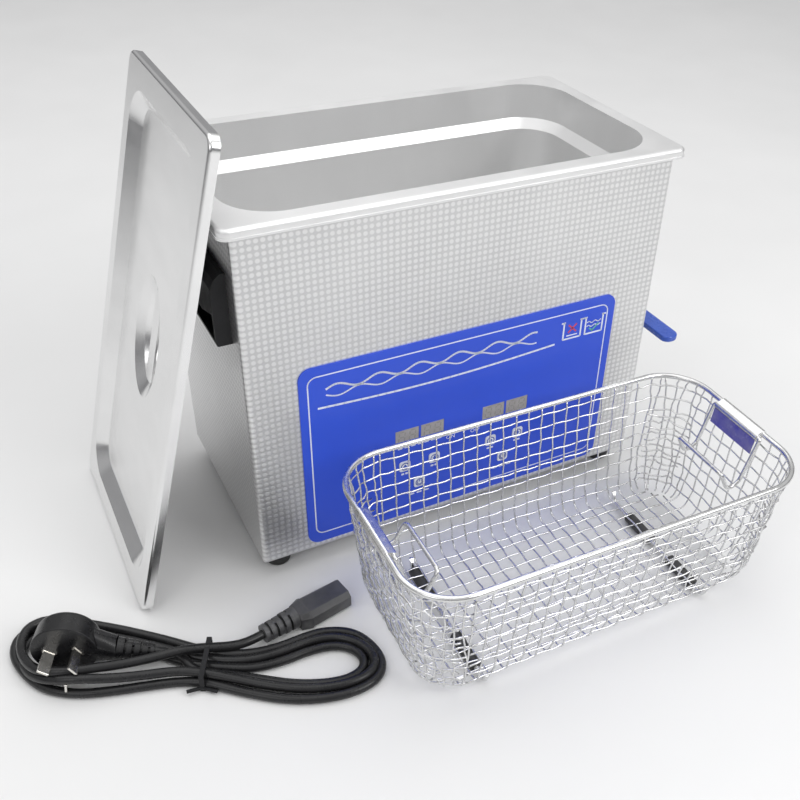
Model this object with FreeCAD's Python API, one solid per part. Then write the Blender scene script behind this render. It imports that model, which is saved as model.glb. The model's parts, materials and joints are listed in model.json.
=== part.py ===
import FreeCAD, Part
import math, os

# Benchtop ultrasonic cleaner: stainless tank in a sheet-metal case, with its
# lid leaning on the left rim, its wire basket standing in front, and its
# detachable power lead tied in a hank. Millimetres, +Z up.
# Modelled about a point on the bench under the case's centre, then moved by
# SHIFT so that the origin is the bottom centre of the whole row.

V = FreeCAD.Vector
os.makedirs("parts", exist_ok=True)

# ------------------------------------------------------------ driving sizes
SHIFT = (10.61, 78.92, 0.0)     # row origin, see the end of the file

CASE_W, CASE_D = 312.0, 166.0   # case outside, left-right and front-back
CASE_Z0, CASE_Z1 = 16.0, 271.0  # bottom edge and top edge of the case sheet
SHEET = 0.8                     # case sheet
CASE_R = 3.0                    # bend of the front corners

RIM_W, RIM_D, RIM_R = 325.0, 176.0, 6.5
RIM_Z = 272.0                   # top of the tank's rim
RIM_LIP = 6.5                   # turned-down edge
TANK_T = 1.0
OPEN_W, OPEN_D, OPEN_R = 300.0, 151.0, 34.0
STEP_Z1, STEP_Z0 = 246.0, 238.5 # sloping step inside the tank
WELL_W, WELL_D, WELL_R = 290.0, 141.0, 29.0
TANK_DEEP = 150.0

PANEL_W, PANEL_Z0, PANEL_Z1, PANEL_R, PANEL_T = 245.0, 20.0, 168.0, 9.0, 0.8
KEY = 8.8
KEYS = {"key_timer_up": (-47.5, 66.0), "key_timer_down": (-23.8, 66.0),
        "key_timer_run": (-35.6, 47.5), "key_heat_up": (23.3, 66.0),
        "key_heat_down": (46.7, 66.0), "key_heat_run": (34.9, 47.5)}
DISPLAYS = (-45.7, -25.8, 24.1, 43.9)   # centres of the two-digit modules
DISP_W, DISP_Z0, DISP_Z1 = 18.0, 86.6, 98.4

FOOT_X, FOOT_Y, FOOT_H = 141.0, 66.5, 16.0

LID_L, LID_W, LID_T, LID_SKIRT = 330.0, 178.0, 0.8, 6.5
LID_LEAN = 14.7                 # degrees from upright
LID_X, LID_Y, LID_Z = -241.8, 10.0, 1.70
LID_RECESS = 7.0

BASKET_X, BASKET_Y, BASKET_TURN = 28.5, -179.5, -1.35
BASKET_L, BASKET_W, BASKET_R, BASKET_H = 285.0, 141.0, 34.0, 106.0
RIM_WIRE, HANDLE_WIRE, FOOT_WIRE = 4.0, 3.0, 3.4

VALVE_X, VALVE_Z = 183.0, 92.0  # stem axis, and height of the pipe's axis
LEVER_Z = 113.6                 # underside of the lever's strip
LEVER_L = 86.0

TRANSDUCERS = (-92.0, -12.0, 68.0)
DRAIN_X = 120.0

NODES = {}


# ------------------------------------------------------------ small helpers
def save(name, shape):
    s = shape.copy()
    s.translate(V(*SHIFT))
    NODES[name] = s


def box(x0, y0, z0, x1, y1, z1):
    return Part.makeBox(x1 - x0, y1 - y0, z1 - z0, V(x0, y0, z0))


def cyl(r, h, p, d=(0, 0, 1)):
    return Part.makeCylinder(r, h, V(*p), V(*d))


def cone(r1, r2, h, p, d=(0, 0, 1)):
    return Part.makeCone(r1, r2, h, V(*p), V(*d))


def rr_wire(w, d, r, z=0.0, cx=0.0, cy=0.0):
    """Rounded rectangle in a level plane."""
    x0, x1, y0, y1 = cx - w / 2, cx + w / 2, cy - d / 2, cy + d / 2
    k = r * (1 - math.sqrt(0.5))
    P = lambda x, y: V(x, y, z)
    e = [Part.LineSegment(P(x0 + r, y0), P(x1 - r, y0)).toShape(),
         Part.Arc(P(x1 - r, y0), P(x1 - k, y0 + k), P(x1, y0 + r)).toShape(),
         Part.LineSegment(P(x1, y0 + r), P(x1, y1 - r)).toShape(),
         Part.Arc(P(x1, y1 - r), P(x1 - k, y1 - k), P(x1 - r, y1)).toShape(),
         Part.LineSegment(P(x1 - r, y1), P(x0 + r, y1)).toShape(),
         Part.Arc(P(x0 + r, y1), P(x0 + k, y1 - k), P(x0, y1 - r)).toShape(),
         Part.LineSegment(P(x0, y1 - r), P(x0, y0 + r)).toShape(),
         Part.Arc(P(x0, y0 + r), P(x0 + k, y0 + k), P(x0 + r, y0)).toShape()]
    return Part.Wire(e)


def rr(w, d, r, z0, z1, cx=0.0, cy=0.0):
    return Part.Face(rr_wire(w, d, r, z0, cx, cy)).extrude(V(0, 0, z1 - z0))


def rr_y(w, h, r, y0, y1, cx, cz):
    """Rounded rectangle in the front plane, extruded along Y."""
    s = rr(w, h, r, 0, y1 - y0)
    s.rotate(V(0, 0, 0), V(1, 0, 0), 90)       # z -> -y
    s.translate(V(cx, y1, cz))
    return s


def loft(sections):
    """Straight-walled loft through rounded rectangles (w, d, r, z)."""
    out = None
    for a, b in zip(sections, sections[1:]):
        s = Part.makeLoft([rr_wire(*a), rr_wire(*b)], True, True)
        out = s if out is None else out.fuse(s)
    return out.removeSplitter()


def poly(pts, d):
    """Prism on a closed polygon of points, extruded by the vector d."""
    p = [V(*q) for q in pts]
    return Part.Face(Part.makePolygon(p + [p[0]])).extrude(V(*d))


def hexa(af, h, p, d=(1, 0, 0)):
    """Hexagon bar, af across flats."""
    r = af / math.sqrt(3)
    pts = [V(r * math.cos(math.radians(60 * i)), r * math.sin(math.radians(60 * i)), 0)
           for i in range(6)]
    s = Part.Face(Part.makePolygon(pts + [pts[0]])).extrude(V(0, 0, h))
    s.Placement = FreeCAD.Placement(V(*p), FreeCAD.Rotation(V(0, 0, 1), V(*d)))
    return s


def fillet(s, r, test):
    e = [x for x in s.Edges if test(x)]
    return s.makeFillet(r, e) if e else s


def mid(e):
    return e.valueAt((e.FirstParameter + e.LastParameter) / 2)


def rounded_path(pts, radii, closed=False):
    """Straight runs joined by tangent arcs."""
    p = [V(*q) for q in pts]
    n = len(p)
    edges, ends = [], []
    for i in range(n):
        if not closed and i in (0, n - 1):
            ends.append((p[i], p[i], None))
            continue
        a, b, c = p[i - 1], p[i], p[(i + 1) % n]
        u, w = (a - b).normalize(), (c - b).normalize()
        ang = u.getAngle(w)
        t = radii[i] / math.tan(ang / 2)
        bis = (u + w).normalize()
        m = b + bis * (radii[i] / math.sin(ang / 2) - radii[i])
        ends.append((b + u * t, b + w * t, m))
    for i in range(n):
        s0, s1, m = ends[i]
        if m is not None:
            edges.append(Part.Arc(s0, m, s1).toShape())
        if i < n - 1 or closed:
            q = ends[(i + 1) % n][0]
            if (q - s1).Length > 1e-6:
                edges.append(Part.LineSegment(s1, q).toShape())
    return edges


def wire_rod(pts, radii, r, closed=False):
    """Round wire of radius r along runs and arcs."""
    edges = rounded_path(pts, radii, closed)
    path = Part.Wire(Part.__sortEdges__(edges))
    e0 = path.OrderedEdges[0]
    o = path.OrderedVertexes[0].Point
    t = e0.tangentAt(e0.FirstParameter)
    if (e0.valueAt(e0.FirstParameter) - o).Length > 1e-6:
        t = e0.tangentAt(e0.LastParameter) * -1
    prof = Part.Wire([Part.makeCircle(r, o, t)])
    return path.makePipeShell([prof], True, True)


def one(shape):
    """A fused shape as one clean solid."""
    s = shape.removeSplitter()
    return s.Solids[0] if len(s.Solids) == 1 else s


def fuse(*parts):
    s = parts[0]
    for p in parts[1:]:
        s = s.fuse(p)
    return one(s)


def group(parts):
    return Part.makeCompound([s for p in parts for s in p.Solids])


# ------------------------------------------------------------ case
hw, hd = CASE_W / 2, CASE_D / 2
iw, idp = hw - SHEET, hd - SHEET

outer = box(-hw, -hd, CASE_Z0, hw, hd, CASE_Z1)
outer = fillet(outer, CASE_R, lambda e: abs(mid(e).y + hd) < 1e-6 and abs(abs(mid(e).x) - hw) < 1e-6)
inner = box(-iw, -idp, CASE_Z0 - 1, iw, hd + 1, CASE_Z1 + 1)
inner = fillet(inner, CASE_R - SHEET, lambda e: abs(mid(e).y + idp) < 1e-6 and abs(abs(mid(e).x) - iw) < 1e-6)
wrap = outer.cut(inner)
# turned-in flanges: top, bottom and the two rear uprights
top_fl = rr(CASE_W - 1, CASE_D - 1, 2.4, CASE_Z1 - SHEET, CASE_Z1)
top_fl = top_fl.cut(box(-iw + 2.6, -idp + 2.6, 0, iw - 2.6, hd + 5, 400)).cut(box(-hw, hd - 6, 0, hw, hd + 5, 400))
bot_fl = rr(CASE_W - 1, CASE_D - 1, 2.4, CASE_Z0, CASE_Z0 + SHEET)
bot_fl = bot_fl.cut(box(-iw + 26, -idp + 28, 0, iw - 26, hd + 5, 400)).cut(box(-hw, hd - 3, 0, hw, hd + 5, 400))
rear = [box(s * iw - (0 if s < 0 else 12), hd - 2 * SHEET, CASE_Z0 + 4, s * iw + (12 if s < 0 else 0), hd - SHEET, CASE_Z1 - 8) for s in (-1, 1)]
wrap = fuse(wrap, top_fl, bot_fl, *rear)
# window behind the key panel, drain pipe hole, handle and foot screw holes
wrap = wrap.cut(box(-57.5, -hd - 1, 41.5, 57.5, -idp + 1, 101))
wrap = wrap.cut(cyl(7.2, 10, (hw - 5, 0, VALVE_Z), (1, 0, 0)))
for s in (-1, 1):
    for y in (-59.0, 59.0):
        wrap = wrap.cut(cyl(2.2, 10, (s * hw - 5, y, 212), (1, 0, 0)))
for sx in (-1, 1):
    for sy in (-1, 1):
        wrap = wrap.cut(cyl(2.2, 10, (sx * FOOT_X, sy * FOOT_Y, CASE_Z0 - 5)))
BACK_SCREWS = [(-150.0, 30.0), (-150.0, 140.0), (-150.0, 250.0), (150.0, 30.0), (150.0, 140.0), (150.0, 250.0)]
for x, z in BACK_SCREWS:
    wrap = wrap.cut(cyl(1.5, 10, (x, hd - 8, z), (0, 1, 0)))
save("case_wrap", one(wrap))

# back panel with inlet, switch and fan openings
FAN_X, FAN_Z = 72.0, 64.0
INLET_X, SWITCH_X, REAR_Z = -104.0, -56.0, 64.0
back = box(-iw + 0.2, hd - SHEET, CASE_Z0 + 1.0, iw - 0.2, hd, CASE_Z1 - 0.2)
back = fuse(back, box(-iw + 4, hd - SHEET - 3.0, CASE_Z1 - 1.0, iw - 4, hd - SHEET, CASE_Z1 - 0.2))
back = back.cut(box(INLET_X - 14, hd - 5, REAR_Z - 10.4, INLET_X + 14, hd + 5, REAR_Z + 10.4))
back = back.cut(box(SWITCH_X - 10, hd - 5, REAR_Z - 12, SWITCH_X + 10, hd + 5, REAR_Z + 12))
holes = []
for ring, n in ((0.0, 1), (8.0, 6), (16.0, 12), (24.0, 18)):
    for i in range(n):
        a = 2 * math.pi * i / n
        holes.append(cyl(2.9, 10, (FAN_X + ring * math.cos(a), hd - 5, FAN_Z + ring * math.sin(a)), (0, 1, 0)))
back = back.cut(Part.makeCompound(holes))
for dx in (-25, 25):
    for dz in (-25, 25):
        back = back.cut(cyl(1.7, 10, (FAN_X + dx, hd - 5, FAN_Z + dz), (0, 1, 0)))
for x, z in BACK_SCREWS:
    back = back.cut(cyl(1.7, 10, (x, hd - 5, z), (0, 1, 0)))
slots = []
for i in range(9):
    slots.append(box(-40 + i * 10, hd - 5, 190, -36 + i * 10, hd + 5, 215))
back = back.cut(Part.makeCompound(slots))
save("back_panel", one(back))

# bottom plate with vent slots
bottom = box(-iw + 0.3, -idp + 0.3, CASE_Z0 + SHEET, iw - 0.3, hd - 2 * SHEET - 0.3, CASE_Z0 + 2 * SHEET)
bottom = fillet(bottom, 3.0, lambda e: e.BoundBox.ZLength > 0.5 and mid(e).y < 0)
slots = [box(-6 + i * 12, -38, 0, -1 + i * 12, 38, 40) for i in range(-6, 8)]
slots = [s for s in slots]
bottom = bottom.cut(Part.makeCompound(slots))
for sx in (-1, 1):
    for sy in (-1, 1):
        bottom = bottom.cut(cyl(2.2, 10, (sx * FOOT_X, sy * FOOT_Y, CASE_Z0 - 5)))
save("bottom_plate", one(bottom))

# feet: tapered rubber, hollow for the screw head
feet, fscrews = [], []
for sx in (-1, 1):
    for sy in (-1, 1):
        x, y = sx * FOOT_X, sy * FOOT_Y
        f = cone(8.6, 11.4, FOOT_H, (x, y, 0))
        f = fillet(f, 3.2, lambda e: abs(e.BoundBox.ZMax) < 1e-6)
        f = f.cut(cyl(3.8, 7.0, (x, y, -1))).cut(cyl(2.0, 20, (x, y, 0)))
        feet.append(f)
        sc = fuse(cyl(3.5, 2.6, (x, y, 3.2)), cyl(2.0, 16.0, (x, y, 5.8)))
        sc = sc.cut(box(x - 3.0, y - 0.5, 3.0, x + 3.0, y + 0.5, 4.2))
        nut = hexa(7.0, 3.0, (x, y, CASE_Z0 + 2 * SHEET), (0, 0, 1)).cut(cyl(2.0, 10, (x, y, CASE_Z0)))
        fscrews += [sc, nut]
save("rubber_feet", group(feet))

# back panel and fan screws
scr = []
for x, z in BACK_SCREWS:
    s = fuse(cyl(3.0, 1.9, (x, hd, z), (0, 1, 0)), cyl(1.5, 7.5, (x, hd - 7.5, z), (0, 1, 0)))
    s = s.cut(box(x - 2.0, hd + 1.0, z - 0.35, x + 2.0, hd + 3, z + 0.35)).cut(box(x - 0.35, hd + 1.0, z - 2.0, x + 0.35, hd + 3, z + 2.0))
    scr.append(s)
for dx in (-25, 25):
    for dz in (-25, 25):
        x, z = FAN_X + dx, FAN_Z + dz
        s = fuse(cyl(3.0, 1.9, (x, hd, z), (0, 1, 0)), cyl(1.5, 12.0, (x, hd - 12.0, z), (0, 1, 0)))
        s = s.cut(box(x - 2.0, hd + 1.0, z - 0.35, x + 2.0, hd + 3, z + 0.35)).cut(box(x - 0.35, hd + 1.0, z - 2.0, x + 0.35, hd + 3, z + 2.0))
        scr.append(s)
save("case_screws", group(fscrews + scr))

# ------------------------------------------------------------ tank
t = TANK_T
floor_z = RIM_Z - TANK_DEEP
out_s = [(OPEN_W + 2 * t, OPEN_D + 2 * t, OPEN_R + t, RIM_Z - 0.5),
         (OPEN_W + 2 * t, OPEN_D + 2 * t, OPEN_R + t, STEP_Z1 - 0.6),
         (WELL_W + 2 * t, WELL_D + 2 * t, WELL_R + t, STEP_Z0 - 0.6),
         (WELL_W + 2 * t, WELL_D + 2 * t, WELL_R + t, floor_z + 10),
         (WELL_W + 2 * t - 6, WELL_D + 2 * t - 6, WELL_R + t - 3, floor_z + 2.5),
         (WELL_W + 2 * t - 20, WELL_D + 2 * t - 20, WELL_R + t - 10, floor_z - t)]
in_s = [(OPEN_W, OPEN_D, OPEN_R, RIM_Z + 2),
        (OPEN_W, OPEN_D, OPEN_R, STEP_Z1),
        (WELL_W, WELL_D, WELL_R, STEP_Z0),
        (WELL_W, WELL_D, WELL_R, floor_z + 10),
        (WELL_W - 6, WELL_D - 6, WELL_R - 3, floor_z + 3.2),
        (WELL_W - 20, WELL_D - 20, WELL_R - 10, floor_z)]
rim = rr(RIM_W, RIM_D, RIM_R, RIM_Z - RIM_LIP, RIM_Z)
rim = fillet(rim, 2.5, lambda e: abs(e.BoundBox.ZMin - RIM_Z) < 1e-6)
rim_in = rr(RIM_W - 2 * t, RIM_D - 2 * t, RIM_R - t, RIM_Z - RIM_LIP - 1, RIM_Z - t)
rim_in = fillet(rim_in, 1.5, lambda e: abs(e.BoundBox.ZMin - RIM_Z + t) < 1e-6)
hem = rr(RIM_W + 1.0, RIM_D + 1.0, RIM_R + 0.5, RIM_Z - RIM_LIP, RIM_Z - RIM_LIP + 1.3)
tank = rim.fuse(hem).cut(rim_in).fuse(loft(out_s)).cut(loft(in_s))
tank = tank.cut(cyl(8.0, 10, (DRAIN_X, 0, floor_z - 5)))
# pressed rim and drawn well, butt-welded at the foot of the step
SEAM_Z = STEP_Z0 - 0.6
save("tank_rim", one(tank.common(box(-400, -400, SEAM_Z, 400, 400, 400))))
save("tank_well", one(tank.common(box(-400, -400, 0, 400, 400, SEAM_Z))))

# heater pads on the long walls, probe on the end wall
pads = [box(-105, -WELL_D / 2 - t - 1.6, 140, 105, -WELL_D / 2 - t, 205),
        box(-105, WELL_D / 2 + t, 140, 105, WELL_D / 2 + t + 1.6, 205)]
save("heater_pads", group(pads))
probe = fuse(cyl(7.0, 3.2, (-WELL_W / 2 - t - 3.2, 0, 160), (1, 0, 0)),
             box(-WELL_W / 2 - t - 2.6, -2.5, 142, -WELL_W / 2 - t - 0.4, 2.5, 160))
save("temperature_probe", probe)

# ------------------------------------------------------------ transducers
zb = floor_z - t
horns, rings, masses, bolts = [], [], [], []
for x in TRANSDUCERS:
    h = cone(19.0, 22.5, 24.0, (x, 0, zb - 24)).cut(cyl(5.0, 16, (x, 0, zb - 24)))
    horns.append(h)
    for k in (0, 1):
        rings.append(cyl(19.0, 5.0, (x, 0, zb - 29 - 5 * k)).cut(cyl(7.5, 5.0, (x, 0, zb - 29 - 5 * k))))
    m = cyl(19.0, 20.0, (x, 0, zb - 54)).cut(cyl(5.0, 20.0, (x, 0, zb - 54)))
    masses.append(m)
    b = fuse(cyl(8.0, 7.0, (x, 0, zb - 61)), cyl(5.0, 44.0, (x, 0, zb - 54)))
    b = b.cut(hexa(8.0, 5.0, (x, 0, zb - 62), (0, 0, 1)))
    bolts.append(b)
save("transducer_horns", group(horns))
save("piezo_rings", group(rings))
save("transducer_masses", group(masses))
save("transducer_bolts", group(bolts))

# ------------------------------------------------------------ key panel
pan = rr_y(PANEL_W, PANEL_Z1 - PANEL_Z0, PANEL_R, -hd - PANEL_T, -hd, 0, (PANEL_Z0 + PANEL_Z1) / 2)
for x in DISPLAYS:
    pan = pan.cut(box(x - DISP_W / 2 - 0.2, -hd - 2, DISP_Z0 - 0.2, x + DISP_W / 2 + 0.2, -hd + 1, DISP_Z1 + 0.2))
for x, z in KEYS.values():
    pan = pan.cut(rr_y(KEY + 0.5, KEY + 0.5, 2.2, -hd - 2, -hd + 1, x, z))
save("key_panel", one(pan))

BOARD_Y = -76.3
for name, (x, z) in KEYS.items():
    k = rr_y(KEY, KEY, 2.0, -hd - PANEL_T - 0.55, -hd + 0.6, x, z)
    k = fillet(k, 0.35, lambda e: abs(e.BoundBox.YMax + hd + PANEL_T + 0.55) < 1e-6)
    k = fuse(k, cyl(1.5, 3.2, (x, -hd + 0.5, z), (0, 1, 0)))
    save(name, k)

mods = [box(x - DISP_W / 2, -hd - PANEL_T + 0.15, DISP_Z0, x + DISP_W / 2, BOARD_Y, DISP_Z1) for x in DISPLAYS]
save("display_modules", group(mods))

board = box(-67, BOARD_Y, 37, 67, BOARD_Y + 1.6, 108)
for x in (-62.5, 62.5):
    for z in (41.0, 104.0):
        board = board.cut(cyl(1.5, 10, (x, BOARD_Y - 4, z), (0, 1, 0)))
board = fuse(board, box(-30, BOARD_Y + 1.6, 60, -10, BOARD_Y + 4.1, 80), box(15, BOARD_Y + 1.6, 88, 45, BOARD_Y + 9.0, 94))
save("control_board", board)
sws = []
for x, z in KEYS.values():
    s = box(x - 3, BOARD_Y - 3.9, z - 3, x + 3, BOARD_Y, z + 3).cut(cyl(1.75, 2.6, (x, BOARD_Y - 3.9, z), (0, 1, 0)))
    sws.append(s)
save("key_switches", group(sws))

sp = []
for x in (-62.5, 62.5):
    for z in (41.0, 104.0):
        sp.append(cyl(3.0, -idp * -1 * 0 + (BOARD_Y + idp), (x, -idp, z), (0, 1, 0)))
for x in (-136.0, -24.0):
    for y in (-52.0, 52.0):
        sp.append(cyl(3.0, 8.0, (x, y, CASE_Z0 + 2 * SHEET)))
save("board_spacers", group(sp))

# ------------------------------------------------------------ driver board
DZ = CASE_Z0 + 2 * SHEET + 8.0
drv = box(-142, -58, DZ, -18, 58, DZ + 1.6)
for x in (-136.0, -24.0):
    for y in (-52.0, 52.0):
        drv = drv.cut(cyl(1.5, 10, (x, y, DZ - 4)))
drv = fuse(drv, cyl(9.0, 26.0, (-62, 34, DZ + 1.6)), cyl(9.0, 26.0, (-40, 34, DZ + 1.6)),
           box(-92, -50, DZ + 1.6, -78, -26, DZ + 13), cyl(5.0, 14.0, (-30, -40, DZ + 1.6)))
save("driver_board", drv)
fins = [box(-134, -46, DZ + 1.6, -100, 46, DZ + 5.6)]
for i in range(6):
    fins.append(box(-134 + i * 6.4, -46, DZ + 5.0, -132 + i * 6.4, 46, DZ + 27))
save("heat_sink", fuse(*fins))
tr = box(-76, -20, DZ + 1.6, -40, 14, DZ + 8)
tr = fuse(tr, box(-74, -18, DZ + 7, -66, 12, DZ + 28), box(-50, -18, DZ + 7, -42, 12, DZ + 28),
          box(-74, -18, DZ + 22, -42, 12, DZ + 28), cyl(10.5, 16, (-58, -3, DZ + 7)))
save("output_transformer", tr)

# looms: bundle tubes from board to transducers, heater, inlet and key board
def loom(pts, rad, r=1.8):
    return wire_rod(pts, [rad] * len(pts), r)

wires = [loom([(-45, 50, DZ + 1.7), (-45, 50, 88), (-45, 78, 106), (-45, 78, 150), (-45, 75.1, 162)], 6),
         loom([(-88, 44, DZ + 1.7), (-88, 44, 50), (-88, 66, 60), (-88, 74, 64)], 6),
         loom([(-24, -20, DZ + 1.7), (-24, -20, 50), (-24, -50, 66), (-24, -71.8, 70)], 6)]
save("wiring_looms", group(wires))

# ------------------------------------------------------------ side handles
HZ0, HZ1, HLEN, HOUT = 188.0, 236.0, 67.0, 9.8


def side_handle(s):
    """Cup handle on an end wall, s = -1 left, +1 right."""
    w = CASE_W / 2
    prof = [(0, HZ0), (HOUT, HZ0), (HOUT, HZ1 - 9), (HOUT - 2.6, HZ1 - 3.4), (3.0, HZ1), (0, HZ1)]
    body = poly([(s * (w + a), -HLEN, z) for a, z in prof], (0, 2 * HLEN, 0))
    # hand space: hollow up behind the outer wall, open at the lower front
    cav = [(1.4, HZ0 + 3.2), (HOUT - 2.4, HZ0 + 3.2), (HOUT - 2.4, HZ1 - 10), (HOUT - 4.4, HZ1 - 6.6), (1.4, HZ1 - 5.0)]
    body = body.cut(poly([(s * (w + a), -HLEN + 3.2, z) for a, z in cav], (0, 2 * HLEN - 6.4, 0)))
    mouth = [(-HLEN + 3.2, HZ0 + 3.2), (HLEN - 3.2, HZ0 + 3.2), (HLEN - 3.2, HZ0 + 21), (HLEN - 26, HZ0 + 13.5),
             (-HLEN + 26, HZ0 + 13.5), (-HLEN + 3.2, HZ0 + 21)]
    body = body.cut(poly([(s * (w + 3), y, z) for y, z in mouth], (s * 20, 0, 0)))
    # solid bosses where the screws enter
    for y in (-59.0, 59.0):
        body = body.fuse(box(min(s * w, s * (w + 6.5)), y - 4.5, 206, max(s * w, s * (w + 6.5)), y + 4.5, 218))
    body = fillet(body, 1.6, lambda e: e.BoundBox.XLength < 1e-6 and e.BoundBox.YLength > 100 and abs(abs(mid(e).x) - (w + HOUT)) < 1e-6 and abs(mid(e).z - HZ0) < 1e-3)
    for y in (-59.0, 59.0):
        body = body.cut(cyl(1.6, 6.0, (s * (w - 0.5), y, 212), (s, 0, 0)))
    return one(body)


save("side_handle_left", side_handle(-1))
save("side_handle_right", side_handle(1))
hs = []
for s in (-1, 1):
    for y in (-59.0, 59.0):
        hs.append(fuse(cyl(3.2, 2.2, (s * (iw - 2.2), y, 212), (s, 0, 0)), cyl(1.6, 5.4, (s * iw, y, 212), (s, 0, 0))))
save("handle_screws", group(hs))

# ------------------------------------------------------------ drain and valve
df = fuse(cyl(13.0, 1.6, (DRAIN_X, 0, floor_z)), cyl(8.0, 26.0, (DRAIN_X, 0, floor_z - 26)))
df = df.cut(cyl(6.2, 60, (DRAIN_X, 0, floor_z - 40)))
save("drain_fitting", df)
el = fuse(box(DRAIN_X - 11, -11, VALVE_Z - 10, DRAIN_X + 11, 11, floor_z - 15),
          cyl(6.6, 34.0, (DRAIN_X + 10, 0, VALVE_Z), (1, 0, 0)), cyl(6.6, 4.4, (DRAIN_X + 43, 0, VALVE_Z), (1, 0, 0)))
el = el.cut(cyl(8.0, 12.0, (DRAIN_X, 0, floor_z - 26))).cut(cyl(4.6, 40.0, (DRAIN_X, 0, VALVE_Z), (0, 0, 1)).common(cyl(4.6, floor_z - 26 - VALVE_Z + 0.1, (DRAIN_X, 0, VALVE_Z))))
el = el.cut(cyl(4.6, 60.0, (DRAIN_X, 0, VALVE_Z), (1, 0, 0)))
save("drain_pipe", one(el))
nuts = [hexa(24.0, 5.0, (DRAIN_X, 0, floor_z - t - 5.0), (0, 0, 1)).cut(cyl(8.0, 20, (DRAIN_X, 0, floor_z - 15))),
        hexa(20.0, 4.0, (hw - SHEET - 4.0, 0, VALVE_Z)).cut(cyl(6.6, 20, (hw - 10, 0, VALVE_Z), (1, 0, 0))),
        hexa(20.0, 4.0, (hw, 0, VALVE_Z)).cut(cyl(6.6, 20, (hw - 10, 0, VALVE_Z), (1, 0, 0)))]
save("drain_nuts", group(nuts))

vx0, vx1 = VALVE_X - 20.0, VALVE_X + 20.0
vb = fuse(hexa(21.0, 11.0, (vx0, 0, VALVE_Z)), hexa(21.0, 11.0, (vx1 - 11.0, 0, VALVE_Z)),
          cyl(11.6, 24.0, (VALVE_X - 12, 0, VALVE_Z), (1, 0, 0)),
          cyl(7.2, 17.0, (VALVE_X, 0, VALVE_Z)), hexa(12.0, 3.4, (VALVE_X, 0, VALVE_Z + 16.0), (0, 0, 1)))
vb = vb.cut(Part.makeSphere(8.1, V(VALVE_X, 0, VALVE_Z)))
vb = vb.cut(cyl(5.0, 50.0, (vx0 - 1, 0, VALVE_Z), (1, 0, 0)))
vb = vb.cut(cyl(6.6, 6.0, (vx0 - 1, 0, VALVE_Z), (1, 0, 0))).cut(cyl(6.6, 9.0, (vx1 - 8, 0, VALVE_Z), (1, 0, 0)))
vb = vb.cut(cyl(3.05, 40.0, (VALVE_X, 0, VALVE_Z)))
save("valve_body", one(vb))
ball = Part.makeSphere(8.0, V(VALVE_X, 0, VALVE_Z)).cut(cyl(4.8, 30, (VALVE_X, -15, VALVE_Z), (0, 1, 0)))
ball = ball.cut(box(VALVE_X - 1.3, -9, VALVE_Z + 6.2, VALVE_X + 1.3, 9, VALVE_Z + 12))
save("valve_ball", ball)
stem = fuse(box(VALVE_X - 1.2, -2.7, VALVE_Z + 6.3, VALVE_X + 1.2, 2.7, VALVE_Z + 8.6),
            cyl(3.0, LEVER_Z - VALVE_Z - 8.4, (VALVE_X, 0, VALVE_Z + 8.4)),
            cyl(2.4, 7.2, (VALVE_X, 0, LEVER_Z - 0.5)))
save("valve_stem", stem)
lev = rr(12.0, LEVER_L + 2, 5.0, LEVER_Z, LEVER_Z + 1.8, VALVE_X, -LEVER_L / 2 + 7)
lev = fuse(lev, cyl(7.5, 1.8, (VALVE_X, 0, LEVER_Z))).cut(cyl(2.4, 10, (VALVE_X, 0, LEVER_Z - 4)))
save("valve_lever", lev)
slv = rr(14.6, 66.0, 6.4, LEVER_Z - 1.7, LEVER_Z + 3.5, VALVE_X, -LEVER_L + 32.0)
slv = fillet(slv, 1.4, lambda e: e.BoundBox.ZLength < 1e-6)
slv = slv.cut(lev)
save("lever_sleeve", one(slv))
lnut = hexa(8.0, 4.0, (VALVE_X, 0, LEVER_Z + 1.8), (0, 0, 1)).cut(cyl(2.4, 10, (VALVE_X, 0, LEVER_Z)))
save("lever_nut", lnut)
noz = fuse(cyl(6.6, 7.0, (vx1 - 7.0, 0, VALVE_Z), (1, 0, 0)), hexa(15.0, 3.0, (vx1, 0, VALVE_Z)),
           cone(5.2, 4.6, 4.6, (vx1 + 3.0, 0, VALVE_Z), (1, 0, 0)), cone(5.2, 4.6, 4.6, (vx1 + 7.6, 0, VALVE_Z), (1, 0, 0)),
           cone(5.2, 4.2, 5.0, (vx1 + 12.2, 0, VALVE_Z), (1, 0, 0)))
noz = noz.cut(cyl(3.2, 60, (vx1 - 10, 0, VALVE_Z), (1, 0, 0)))
save("hose_nozzle", noz)

# ------------------------------------------------------------ rear fittings
inl = fuse(box(INLET_X - 18, hd, REAR_Z - 13, INLET_X + 18, hd + 2.4, REAR_Z + 13),
           box(INLET_X - 13.8, hd - 20, REAR_Z - 10.2, INLET_X + 13.8, hd + 0.1, REAR_Z + 10.2))
cav = poly([(INLET_X - 12.2, hd - 17.5, REAR_Z - 8.2), (INLET_X + 12.2, hd - 17.5, REAR_Z - 8.2), (INLET_X + 12.2, hd - 17.5, REAR_Z + 4.0),
            (INLET_X + 8.0, hd - 17.5, REAR_Z + 8.2), (INLET_X - 8.0, hd - 17.5, REAR_Z + 8.2), (INLET_X - 12.2, hd - 17.5, REAR_Z + 4.0)], (0, 25, 0))
inl = inl.cut(cav)
for x, z in ((-7.0, -2.0), (7.0, -2.0), (0.0, 2.4)):
    inl = fuse(inl, box(INLET_X + x - 1.0, hd - 24, REAR_Z + z - 2.0, INLET_X + x + 1.0, hd - 2.5, REAR_Z + z + 2.0))
save("power_inlet", one(inl))

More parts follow.
